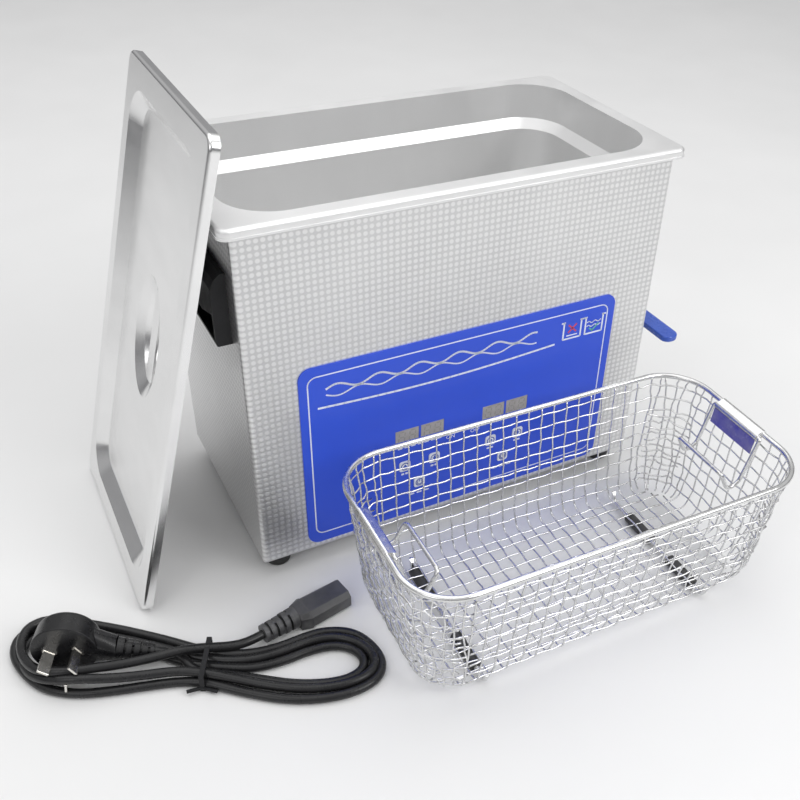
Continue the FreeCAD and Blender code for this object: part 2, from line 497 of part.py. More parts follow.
ROCK_Y, ROCK_R = hd - 3.0, 1.25
hous = fuse(box(SWITCH_X - 11.5, hd, REAR_Z - 13.5, SWITCH_X + 11.5, hd + 1.8, REAR_Z + 13.5),
            box(SWITCH_X - 9.8, hd - 16, REAR_Z - 11.8, SWITCH_X + 9.8, hd + 0.1, REAR_Z + 11.8))
hous = hous.cut(box(SWITCH_X - 7.0, hd - 11.0, REAR_Z - 10.2, SWITCH_X + 7.0, hd + 5, REAR_Z + 10.2))
hous = hous.cut(cyl(ROCK_R + 0.05, 17.6, (SWITCH_X - 8.8, ROCK_Y, REAR_Z), (1, 0, 0)))
for x in (-5.0, 5.0):
    hous = fuse(hous, box(SWITCH_X + x - 0.4, hd - 23, REAR_Z - 6, SWITCH_X + x + 0.4, hd - 15.9, REAR_Z - 1), box(SWITCH_X + x - 0.4, hd - 23, REAR_Z + 1, SWITCH_X + x + 0.4, hd - 15.9, REAR_Z + 6))
save("switch_housing", one(hous))
rk = [(-9.2, 1.6), (-9.4, 4.4), (0, 6.0 - 1.3), (9.4, 4.4), (9.2, 1.6), (4.0, -4.6), (-4.0, -4.6)]
rocker = poly([(SWITCH_X - 6.7, ROCK_Y + b, REAR_Z + a) for a, b in rk], (13.4, 0, 0))
rocker = fuse(rocker, cyl(ROCK_R, 17.0, (SWITCH_X - 8.5, ROCK_Y, REAR_Z), (1, 0, 0)))
rocker.rotate(V(SWITCH_X, ROCK_Y, REAR_Z), V(1, 0, 0), 9.0)
save("switch_rocker", rocker)

FAN_Y1 = hd - SHEET
fr = box(FAN_X - 30, FAN_Y1 - 15, FAN_Z - 30, FAN_X + 30, FAN_Y1, FAN_Z + 30)
fr = fillet(fr, 4.0, lambda e: e.BoundBox.YLength > 14)
fr = fr.cut(cyl(28.4, 20, (FAN_X, FAN_Y1 - 17, FAN_Z), (0, 1, 0)))
for dx in (-25, 25):
    for dz in (-25, 25):
        fr = fr.cut(cyl(1.5, 20, (FAN_X + dx, FAN_Y1 - 17, FAN_Z + dz), (0, 1, 0)))
hubp = cyl(11.0, 2.2, (FAN_X, FAN_Y1 - 15, FAN_Z), (0, 1, 0))
for a in (0, 120, 240):
    st = box(FAN_X - 1.6, FAN_Y1 - 15, FAN_Z + 9, FAN_X + 1.6, FAN_Y1 - 13.2, FAN_Z + 28.8)
    st.rotate(V(FAN_X, 0, FAN_Z), V(0, 1, 0), a + 30)
    hubp = hubp.fuse(st)
fr = fuse(fr, hubp, cyl(1.5, 11.0, (FAN_X, FAN_Y1 - 13.5, FAN_Z), (0, 1, 0)))
save("fan_frame", one(fr))
rot = cyl(12.5, 10.0, (FAN_X, FAN_Y1 - 12.2, FAN_Z), (0, 1, 0)).cut(cyl(1.55, 30, (FAN_X, FAN_Y1 - 20, FAN_Z), (0, 1, 0)))
for i in range(7):
    bl = box(-0.7, -4.2, 12.0, 0.7, 4.2, 27.0)
    bl.rotate(V(0, 0, 0), V(0, 0, 1), 48)
    bl.rotate(V(0, 0, 0), V(0, 1, 0), 360.0 / 7 * i)
    bl.translate(V(FAN_X, FAN_Y1 - 7.2, FAN_Z))
    rot = rot.fuse(bl)
save("fan_rotor", one(rot))

# ------------------------------------------------------------ lid
la, lb = LID_L, LID_W


def lid_place(s):
    """Local x runs up the lid, y across it, z out of its outer face."""
    s = s.copy()
    a = math.radians(LID_LEAN)
    u, n = V(math.sin(a), 0, math.cos(a)), V(-math.cos(a), 0, math.sin(a))
    m = FreeCAD.Matrix(u.x, 0, n.x, LID_X, u.y, 1, n.y, LID_Y, u.z, 0, n.z, LID_Z, 0, 0, 0, 1)
    return s.transformed(m, True)


cx = la / 2
plate = rr(la, lb, 8.0, -LID_SKIRT, 0, cx, 0)
plate = fillet(plate, 2.0, lambda e: abs(e.BoundBox.ZMin) < 1e-6)
plate = plate.cut(rr(la - 2 * LID_T, lb - 2 * LID_T, 7.2, -LID_SKIRT - 1, -LID_T - 0.4, cx, 0))
RX = (16.0 + 312.0) / 2
rec_out = loft([(296 + 1.6, 148 + 1.6, 24.8, -0.4, RX, 0), (276 + 1.6, 128 + 1.6, 16.8, -LID_RECESS - LID_T, RX, 0)])
rec_in = loft([(296.0 + 2.9, 148.0 + 2.9, 24.0 + 1.4, 1.0, RX, 0), (276.0, 128.0, 16.0, -LID_RECESS, RX, 0)])


def oval(a, b, z):
    e = Part.Ellipse(V(cx, 0, z), a, b)
    return Part.Wire([e.toShape()])


DIMPLE = [(45.0, 28.0, -LID_RECESS + 0.5), (34.5, 20.5, -LID_RECESS - 4.7), (27.0, 14.0, -LID_RECESS - 13.0)]


def bowl(g, z_up, z_dn):
    k = [(a + g, b + g, z) for a, b, z in DIMPLE]
    k[0] = (k[0][0], k[0][1], k[0][2] - z_up)
    k[2] = (k[2][0], k[2][1], k[2][2] - z_dn)
    q = Part.makeLoft([oval(*k[0]), oval(*k[1])], True, True)
    return q.fuse(Part.makeLoft([oval(*k[1]), oval(*k[2])], True, True))


dim_out, dim_in = bowl(0.7, 0.7, LID_T), bowl(0.0, 0.0, 0.0)
lid = plate.fuse(rec_out).fuse(dim_out).cut(rec_in).cut(dim_in)
save("lid", lid_place(one(lid)))
# strap handle bridging the dimple along the lid
strap = rr(67.0, 12.6, 2.5, -LID_RECESS - 6.0, -LID_RECESS - 4.3, cx, 0)
strap = fillet(strap, 0.5, lambda e: abs(e.BoundBox.ZMin + LID_RECESS + 4.3) < 1e-6)
strap = one(strap.cut(lid))
strap = max(strap.Solids, key=lambda q: q.Volume)
save("lid_handle", lid_place(one(strap)))

# ------------------------------------------------------------ basket
def bplace(s):
    s = s.copy()
    s.rotate(V(0, 0, 0), V(0, 0, 1), BASKET_TURN)
    s.translate(V(BASKET_X, BASKET_Y, 0))
    return s


rw = RIM_WIRE / 2
zt = BASKET_H - rw
b_out = [(BASKET_L - 1.0, BASKET_W - 1.0, BASKET_R - 0.5, zt), (BASKET_L - 17, BASKET_W - 17, BASKET_R - 6, 26.0),
         (BASKET_L - 22, BASKET_W - 22, BASKET_R - 7, 15.5), (BASKET_L - 34, BASKET_W - 34, BASKET_R - 12, 8.6)]
b_in = [(BASKET_L - 3.0, BASKET_W - 3.0, BASKET_R - 1.5, zt + 2), (BASKET_L - 19.4, BASKET_W - 19.4, BASKET_R - 7.2, 26.0),
        (BASKET_L - 24.4, BASKET_W - 24.4, BASKET_R - 8.2, 16.2), (BASKET_L - 36, BASKET_W - 36, BASKET_R - 13, 9.8)]
mesh = loft(b_out).cut(loft(b_in))
save("basket_mesh", bplace(one(mesh)))
hl, hwb = BASKET_L / 2, BASKET_W / 2
ring = wire_rod([(hl, hwb, BASKET_H), (-hl, hwb, BASKET_H), (-hl, -hwb, BASKET_H), (hl, -hwb, BASKET_H)],
                [BASKET_R] * 4, rw, closed=True)
save("basket_rim", bplace(ring))

FWX = {-1: -89.5, 1: 86.0}
SLEEVES = {-1: (38.0, -28.0), 1: (20.0, -31.0)}
fw, sl = [], []
SR = 4.2
for k in (-1, 1):
    x = FWX[k]
    fw.append(wire_rod([(x, -57, 12.2), (x, -54.6, SR), (x, 54.6, SR), (x, 57, 12.2)], [0, 4, 4, 0], FOOT_WIRE / 2))
    for y in SLEEVES[k]:
        sl.append(cyl(SR, 28.0, (x, y - 14, SR), (0, 1, 0)).cut(cyl(FOOT_WIRE / 2, 40, (x, y - 20, SR), (0, 1, 0))))
fwb = [f.cut(loft(b_out)) for f in fw]
save("basket_foot_wires", bplace(group(fwb)))
save("foot_sleeves", bplace(group(sl)))

# lifting handles, hanging inside, and the sheet plates that hold them
HY, HX, HZ = 21.5, 4.6, BASKET_H - 1.4    # half width, pivot inset, pivot height
hr = HANDLE_WIRE / 2


def lift_handle(s):
    px = s * (hl - HX)
    a, b = -HY - 2.6, HY + 2.6
    side = [(0.0, 0.0), (9.5, -33.0), (18.5, -40.5), (28.5, -22.0)]
    pts = [(px, -HY + 1.0, HZ)] + [(px - s * u, a, HZ + w) for u, w in side] + [(px - s * u, b, HZ + w) for u, w in side[::-1]] + [(px, HY - 1.0, HZ)]
    rad = [0, 1.9, 6.0, 6.0, 4.0, 4.0, 6.0, 6.0, 1.9, 0]
    w = wire_rod(pts, rad, hr)
    return fuse(w, cyl(hr, 2 * HY - 1.8, (px, -HY + 0.9, HZ), (0, 1, 0)))


def plate_(s):
    """Sheet folded over the rim wire and the handle's pivot, with a flap."""
    px, rx = s * (hl - HX), s * hl
    L0, L1 = -HY, HY
    def capsule(r1, r2):
        a = cyl(r1, L1 - L0, (rx, L0, BASKET_H), (0, 1, 0))
        b = cyl(r2, L1 - L0, (px, L0, HZ), (0, 1, 0))
        dx, dz = rx - px, BASKET_H - HZ
        n = math.hypot(dx, dz)
        ux, uz = -dz / n, dx / n
        c = poly([(rx + ux * r1, L0, BASKET_H + uz * r1), (px + ux * r2, L0, HZ + uz * r2), (px - ux * r2, L0, HZ - uz * r2), (rx - ux * r1, L0, BASKET_H - uz * r1)], (0, L1 - L0, 0))
        return a.fuse(b).fuse(c)
    body = capsule(rw + 0.9, hr + 1.0)
    flap = poly([(px - s * 0.9, L0, HZ - 1.6), (px - s * 1.8, L0, HZ - 1.6), (px - s * 3.4, L0, HZ - 13.5), (px - s * 2.5, L0, HZ - 13.5)], (0, L1 - L0, 0))
    body = body.fuse(flap)
    body = body.cut(cyl(rw, L1 - L0, (rx, L0, BASKET_H), (0, 1, 0))).cut(cyl(hr + 0.08, L1 - L0 + 2, (px, L0 - 1, HZ), (0, 1, 0)))
    body = body.cut(mesh)
    return one(body)


save("lift_handle_left", bplace(lift_handle(-1)))
save("lift_handle_right", bplace(lift_handle(1)))
save("handle_plates", bplace(group([plate_(-1), plate_(1)])))

# ------------------------------------------------------------ power lead
CORD = 6.2                      # cord over its sheath
# plug, built about the middle of its face: x along the face, y to its back
FACE, FACE_TURN, PLUG_R, PLUG_T = (-293.5, -105.9, 20.6), -22.6, 20.4, 17.0


def pplace(s):
    s = s.copy()
    s.rotate(V(0, 0, 0), V(0, 0, 1), FACE_TURN)
    s.translate(V(*FACE))
    return s


def tube_ring(x, y, z, ry, rz):
    """Ellipse in a plane across x."""
    if rz >= ry:
        e = Part.Ellipse(V(0, 0, 0), rz, ry).toShape()
        e.rotate(V(0, 0, 0), V(0, 1, 0), 90)
    else:
        e = Part.Ellipse(V(0, 0, 0), ry, rz).toShape()
        e.rotate(V(0, 0, 0), V(0, 0, 1), 90)
        e.rotate(V(0, 0, 0), V(0, 1, 0), 90)
    e.translate(V(x, y, z))
    return Part.Wire([e])


disc = cone(PLUG_R, PLUG_R - 1.0, PLUG_T, (0, 0, 0), (0, 1, 0))
disc = fillet(disc, 4.0, lambda e: abs(e.BoundBox.YMin - PLUG_T) < 1e-6)
disc = fillet(disc, 0.8, lambda e: abs(e.BoundBox.YMax) < 1e-6)
neck = Part.makeLoft([tube_ring(3.0, 8.6, -1.0, 8.0, 18.0), tube_ring(18.0, 7.6, -3.8, 7.9, 12.6), tube_ring(30.6, 6.5, -6.6, 7.6, 7.8)], True, False)
RD = V(22.2, 0.0, -4.6).normalize()
p0 = V(30.0, 6.5, -6.5)
relief = Part.makeCone(7.2, 4.7, 22.6, p0, RD)
for k in range(4):
    q = p0 + RD * (4.2 + k * 4.9)
    relief = relief.cut(Part.makeCylinder(9.0, 1.5, q, RD).cut(Part.makeCylinder(3.9, 1.5, q, RD)).cut(
        box(-100, 6.5 - 1.6, -100, 100, 6.5 + 1.6, 100) if k % 2 else box(-100, -100, q.z - 2.1, 100, 100, q.z + 1.4)))
plug = one(disc.fuse(neck).fuse(relief))
EXIT_PLUG = p0 + RD * 22.6
# flat pins: two slanted, one upright and longer, each with a thin collar
pins = []
for dx, dz, ang, ln, w in ((-8.9, 0.4, 52.0, 17.0, 7.2), (8.5, 0.6, 30.0, 17.0, 7.2), (3.6, -10.4, -8.0, 21.0, 6.3)):
    b = box(-0.85, -ln, -w / 2, 0.85, 0, w / 2)
    b = fillet(b, 0.6, lambda e: abs(mid(e).y + ln) < 1e-6)
    if ln < 20:
        b = one(b.fuse(box(-1.4, -1.1, -w / 2 - 0.9, 1.4, 0, w / 2 + 0.9)))
    b.rotate(V(0, 0, 0), V(0, 1, 0), -ang)
    b.translate(V(dx, 0, dz))
    pins.append(b)
save("lead_plug", pplace(plug))
save("plug_pins", pplace(group(pins)))

# appliance connector with slotted strain relief, built from its mouth back
CTIP, CTURN, CZ = (-114.0, -124.0), 11.1, 7.5


def cplace(s):
    s = s.copy()
    s.rotate(V(0, 0, 0), V(0, 0, 1), CTURN)
    s.translate(V(CTIP[0], CTIP[1], CZ))
    return s


def csec(x, k, m=1.0):
    q = [(-10.2, -6.0), (10.2, -6.0), (10.2, 2.6), (6.8, 6.0), (-6.8, 6.0), (-10.2, 2.6), (-10.2, -6.0)]
    return Part.makePolygon([V(x, a * k, b * m) for a, b in q])


con = Part.makeLoft([csec(-31.0, 1.0), csec(0.0, 0.96, 0.96)], True, True)
con = con.fuse(Part.makeLoft([csec(-38.5, 0.78, 1.06), csec(-31.0, 1.06, 1.1)], True, True))
big = cone(7.3, 7.6, 10.5, (-49.0, 0, 0), (1, 0, 0))
small = cone(6.3, 6.9, 14.5, (-63.2, 0, 0), (1, 0, 0))
for k in range(4):
    x = -60.4 + k * 5.0
    rg = cyl(9.0, 1.6, (x, 0, 0), (1, 0, 0)).cut(cyl(4.2, 1.6, (x, 0, 0), (1, 0, 0)))
    rg = rg.cut(box(-100, -1.6, -100, 100, 1.6, 100) if k % 2 else box(-100, -100, -1.6, 100, 100, 1.6))
    big, small = big.cut(rg), small.cut(rg)
con = con.fuse(big).fuse(small)
for y, z in ((-5.6, -1.4), (5.6, -1.4), (0.0, 1.6)):
    con = con.cut(box(-15, y - 1.3, z - 2.3, 1, y + 1.3, z + 2.3))
con = one(con)
save("lead_connector", cplace(con))

# hank: closed solid round the tied turns, lying on the bench
HANK = [(-206, -126), (-222, -120), (-242, -104), (-262, -88), (-282, -76), (-296, -64), (-310, -60), (-322, -66), (-328, -78), (-326, -94), (-316, -110),
        (-300, -124), (-280, -132), (-256, -139), (-236, -146), (-222, -158), (-206, -170), (-188, -186), (-166, -198), (-144, -204), (-124, -202),
        (-112, -194), (-109, -180), (-112, -166), (-124, -153), (-142, -145), (-160, -144.5), (-180, -144), (-186, -141),
        (-178.5, -139.9), (-177.0, -133.0), (-190, -130)]
HOLE_L = [(-246, -118), (-262, -106), (-279, -92), (-298, -80), (-308, -78), (-310, -84), (-306, -96), (-298, -104), (-282, -112), (-262, -120), (-248, -124)]
HOLE_R = [(-190, -163), (-168, -160), (-150, -162), (-140, -168), (-137, -176), (-142, -182), (-156, -183), (-172, -176)]
hank = poly([(x, y, 0.0) for x, y in HANK], (0, 0, 12.6))
hank = hank.cut(poly([(x, y, -1) for x, y in HOLE_L], (0, 0, 40))).cut(poly([(x, y, -1) for x, y in HOLE_R], (0, 0, 40)))
hank = hank.cut(box(-180, -220, 6.6, -100, -143, 40)).cut(box(-400, -130, 6.6, -300, -40, 40))
# wire tie round the waist of the hank, with its two twisted ends
TIE_C, TIE_TURN, TIE_L, TIE_H = (-216.0, -142.5), -25.7, 33.0, 13.0
waist = box(-2.0, -100, -1, 2.0, 100, 40).cut(box(-3, -TIE_L / 2 + 1.3, 1.3, 3, TIE_L / 2 - 1.3, TIE_H - 1.2))
tie = box(-1.6, -TIE_L / 2, 0.1, 1.6, TIE_L / 2, TIE_H).cut(box(-3, -TIE_L / 2 + 1.2, 1.2, 3, TIE_L / 2 - 1.2, TIE_H - 1.1))
for dx in (-1, 1):
    tie = tie.fuse(cyl(1.2, 10.0, (0, -TIE_L / 2 + 0.8, 2.6), (dx * 1.0, -0.35, 0.05)))
for q in (waist, tie):
    q.rotate(V(0, 0, 0), V(0, 0, 1), TIE_TURN)
    q.translate(V(TIE_C[0], TIE_C[1], 0))
tie = one(tie)
hank = hank.cut(waist).cut(tie)
grow = one(cone(PLUG_R + 0.4, PLUG_R - 0.6, PLUG_T + 0.8, (0, -0.4, 0), (0, 1, 0)).fuse(neck).fuse(Part.makeCone(7.6, 5.1, 22.6, p0, RD)).fuse(box(-1.5, -23, -14.6, 8.5, 0, 40)))
hank = hank.cut(pplace(grow))
hank = hank.cut(cplace(fuse(cyl(7.9, 24.8, (-63.2, 0, 0), (1, 0, 0)), cyl(8.0, 12, (-45, 0, 0), (1, 0, 0)))))
hank = max(hank.removeSplitter().Solids, key=lambda q: q.Volume)
save("lead_hank", hank)
save("lead_tie", tie)
e = pplace(Part.Vertex(EXIT_PLUG)).Point
c = cplace(Part.Vertex(V(-63.2, 0, 0))).Point
print("cord leaves the plug at (%.1f %.1f %.1f), the connector at (%.1f %.1f %.1f) before the shift" % (e.x, e.y, e.z, c.x, c.y, c.z))

# ------------------------------------------------------------ write the nodes
tot = None
for name, s in NODES.items():
    if not s.isValid():
        print("INVALID", name)
    if s.ShapeType not in ("Solid", "Compound") or not s.Solids:
        print("NOT SOLID", name, s.ShapeType)
    s.exportStep("parts/%s.step" % name)
    if not name.startswith(("lead_", "plug_")):
        tot = s.BoundBox if tot is None else tot.united(s.BoundBox)
print(len(NODES), "nodes")
print("box without the lead: x %.2f..%.2f y %.2f..%.2f z %.2f..%.2f" % (tot.XMin, tot.XMax, tot.YMin, tot.YMax, tot.ZMin, tot.ZMax))
for name, s in NODES.items():
    b = s.BoundBox
    print("%-20s solids %2d vol %10.1f  z %.2f..%.2f" % (name, len(s.Solids), s.Volume, b.ZMin, b.ZMax))
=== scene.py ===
"""Bench-top ultrasonic cleaner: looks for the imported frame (metres)."""
import json
import math
import random
import bmesh
import bpy
from mathutils import Matrix, Vector


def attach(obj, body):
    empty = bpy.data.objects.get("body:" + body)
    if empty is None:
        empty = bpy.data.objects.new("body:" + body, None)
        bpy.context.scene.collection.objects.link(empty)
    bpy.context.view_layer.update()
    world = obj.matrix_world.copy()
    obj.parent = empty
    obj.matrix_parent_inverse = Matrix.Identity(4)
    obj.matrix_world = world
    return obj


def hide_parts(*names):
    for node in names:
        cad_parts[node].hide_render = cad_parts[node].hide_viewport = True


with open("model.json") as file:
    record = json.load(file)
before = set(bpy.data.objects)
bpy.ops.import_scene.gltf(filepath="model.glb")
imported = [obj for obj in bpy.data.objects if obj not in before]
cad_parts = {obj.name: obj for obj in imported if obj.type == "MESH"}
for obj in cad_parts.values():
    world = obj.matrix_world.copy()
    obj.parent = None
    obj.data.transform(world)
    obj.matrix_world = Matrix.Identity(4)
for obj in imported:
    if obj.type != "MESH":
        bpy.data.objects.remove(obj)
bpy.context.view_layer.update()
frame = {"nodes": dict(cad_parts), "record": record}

N = frame["nodes"]
SX, SY = 10.61, 78.92            # case centre in the row frame, mm


def F(x, y, z):
    """A point given in mm from the case centre on the bench, in row metres."""
    return Vector(((x + SX) / 1000.0, (y + SY) / 1000.0, z / 1000.0))


# ---------------------------------------------------------------- camera
cam_data = bpy.data.cameras.new("camera")
cam_data.lens, cam_data.sensor_width = 43.05, 36.0
cam_data.shift_x, cam_data.shift_y = -0.0744, 0.0132
cam_data.clip_start, cam_data.clip_end = 0.01, 50
cam = bpy.data.objects.new("camera", cam_data)
fw = Vector((0.40597, 0.70135, -0.58591)).normalized()
rt = Vector((0.87853, -0.47611, 0.03881)).normalized()
up = rt.cross(fw).normalized()
rt = fw.cross(up).normalized()
cam.matrix_world = Matrix(((rt.x, up.x, -fw.x, -0.270598), (rt.y, up.y, -fw.y, -0.483006), (rt.z, up.z, -fw.z, 0.501240), (0, 0, 0, 1)))
bpy.context.scene.collection.objects.link(cam)
bpy.context.scene.camera = cam


# ---------------------------------------------------------------- materials
def new_mat(name):
    m = bpy.data.materials.new(name)
    m.use_nodes = True
    nt = m.node_tree
    return m, nt, nt.nodes["Principled BSDF"]


def link(nt, a, b):
    nt.links.new(a, b)


def math_node(nt, op, a, b=None, clamp=False):
    n = nt.nodes.new("ShaderNodeMath")
    n.operation, n.use_clamp = op, clamp
    for i, v in enumerate((a, b)):
        if v is None:
            continue
        if isinstance(v, (int, float)):
            n.inputs[i].default_value = v
        else:
            link(nt, v, n.inputs[i])
    return n.outputs[0]


def noise(nt, vec, scale, detail=4.0, rough=0.55):
    n = nt.nodes.new("ShaderNodeTexNoise")
    n.inputs["Scale"].default_value = scale
    n.inputs["Detail"].default_value = detail
    n.inputs["Roughness"].default_value = rough
    link(nt, vec, n.inputs["Vector"])
    return n.outputs[0]


def coords(nt, stretch=(1, 1, 1)):
    tc = nt.nodes.new("ShaderNodeTexCoord")
    mp = nt.nodes.new("ShaderNodeMapping")
    mp.inputs["Scale"].default_value = stretch
    link(nt, tc.outputs["Object"], mp.inputs["Vector"])
    return tc.outputs["Object"], mp.outputs["Vector"]


def mix_col(nt, fac, a, b):
    n = nt.nodes.new("ShaderNodeMix")
    n.data_type = "RGBA"
    link(nt, fac, n.inputs[0])
    for s, v in ((6, a), (7, b)):
        if isinstance(v, tuple):
            n.inputs[s].default_value = (*v, 1)
        else:
            link(nt, v, n.inputs[s])
    return n.outputs[2]


def ranged(nt, v, lo, hi, a=0.3, b=0.7):
    n = nt.nodes.new("ShaderNodeMapRange")
    n.inputs[1].default_value, n.inputs[2].default_value = a, b
    n.inputs[3].default_value, n.inputs[4].default_value = lo, hi
    link(nt, v, n.inputs[0])
    return n.outputs[0]


def bump(nt, height, strength, dist):
    n = nt.nodes.new("ShaderNodeBump")
    n.inputs["Strength"].default_value = strength
    n.inputs["Distance"].default_value = dist
    link(nt, height, n.inputs["Height"])
    return n.outputs[0]


def mat(name, dark, light, metal=0.0, rough=(0.35, 0.5), scale=30.0, stretch=(1, 1, 1), bs=(0.15, 0.0002, 900.0), coat=0.0, edge_highlight=0.0, aniso=0.0, spec=0.5):
    """Two close colours and a roughness range over a noise, with a fine surface bump and a painted highlight that
    lightens convex edges.
    """
    m, nt, p = new_mat(name)
    obj, st = coords(nt, stretch)
    big = noise(nt, st, scale)
    fac = ranged(nt, big, 0.0, 1.0)
    col = mix_col(nt, fac, dark, light)
    # painted highlight: convex edges found by pointiness are mixed towards a lighter tint
    if edge_highlight:
        g = nt.nodes.new("ShaderNodeNewGeometry")
        edge = ranged(nt, g.outputs["Pointiness"], 0.0, edge_highlight, 0.515, 0.60)
        highlight_tint = tuple(min(1.0, c * 1.6 + 0.12) for c in light)
        col = mix_col(nt, edge, col, highlight_tint)
    link(nt, col, p.inputs["Base Color"])
    link(nt, ranged(nt, noise(nt, st, scale * 2.3), rough[0], rough[1]), p.inputs["Roughness"])
    p.inputs["Metallic"].default_value = metal
    p.inputs["Coat Weight"].default_value = coat
    p.inputs["Specular IOR Level"].default_value = spec
    p.inputs["Coat Roughness"].default_value = 0.12
    if bs[0]:
        fine = noise(nt, st if aniso else obj, bs[2], 3.0)
        link(nt, bump(nt, fine, bs[0], bs[1]), p.inputs["Normal"])
    return m


def embossed(name):
    """Satin sheet with straight rows of small round raised dots, the dot tops coloured lighter as a painted highlight.
    """
    m, nt, p = new_mat(name)
    obj, st = coords(nt)
    sep = nt.nodes.new("ShaderNodeSeparateXYZ")
    link(nt, obj, sep.inputs[0])
    u = math_node(nt, "ADD", sep.outputs[0], sep.outputs[1])
    wob = math_node(nt, "MULTIPLY", noise(nt, obj, 220.0, 2.0), 0.0004)
    u = math_node(nt, "ADD", u, wob)
    pitch = 0.00417
    du = math_node(nt, "SUBTRACT", math_node(nt, "FRACT", math_node(nt, "DIVIDE", math_node(nt, "ADD", u, 2.0), pitch)), 0.5)
    dv = math_node(nt, "SUBTRACT", math_node(nt, "FRACT", math_node(nt, "DIVIDE", sep.outputs[2], pitch)), 0.5)
    away = math_node(nt, "SQRT", math_node(nt, "ADD", math_node(nt, "MULTIPLY", du, du), math_node(nt, "MULTIPLY", dv, dv)))
    dots = ranged(nt, away, 1.0, 0.0, 0.27, 0.45)
    big = noise(nt, obj, 9.0, 3.0)
    fine = noise(nt, obj, 900.0, 2.0)
    h = math_node(nt, "ADD", dots, math_node(nt, "MULTIPLY", fine, 0.25))
    base = mix_col(nt, ranged(nt, big, 0.0, 1.0), (0.60, 0.60, 0.605), (0.68, 0.68, 0.68))
    # painted highlight: the raised dot tops are mixed towards near white
    dot_top_highlight = math_node(nt, "MULTIPLY", dots, 0.65)
    link(nt, mix_col(nt, dot_top_highlight, base, (0.90, 0.90, 0.90)), p.inputs["Base Color"])
    link(nt, ranged(nt, fine, 0.30, 0.42), p.inputs["Roughness"])
    p.inputs["Metallic"].default_value = 1.0
    link(nt, bump(nt, h, 0.40, 0.00025), p.inputs["Normal"])
    return m


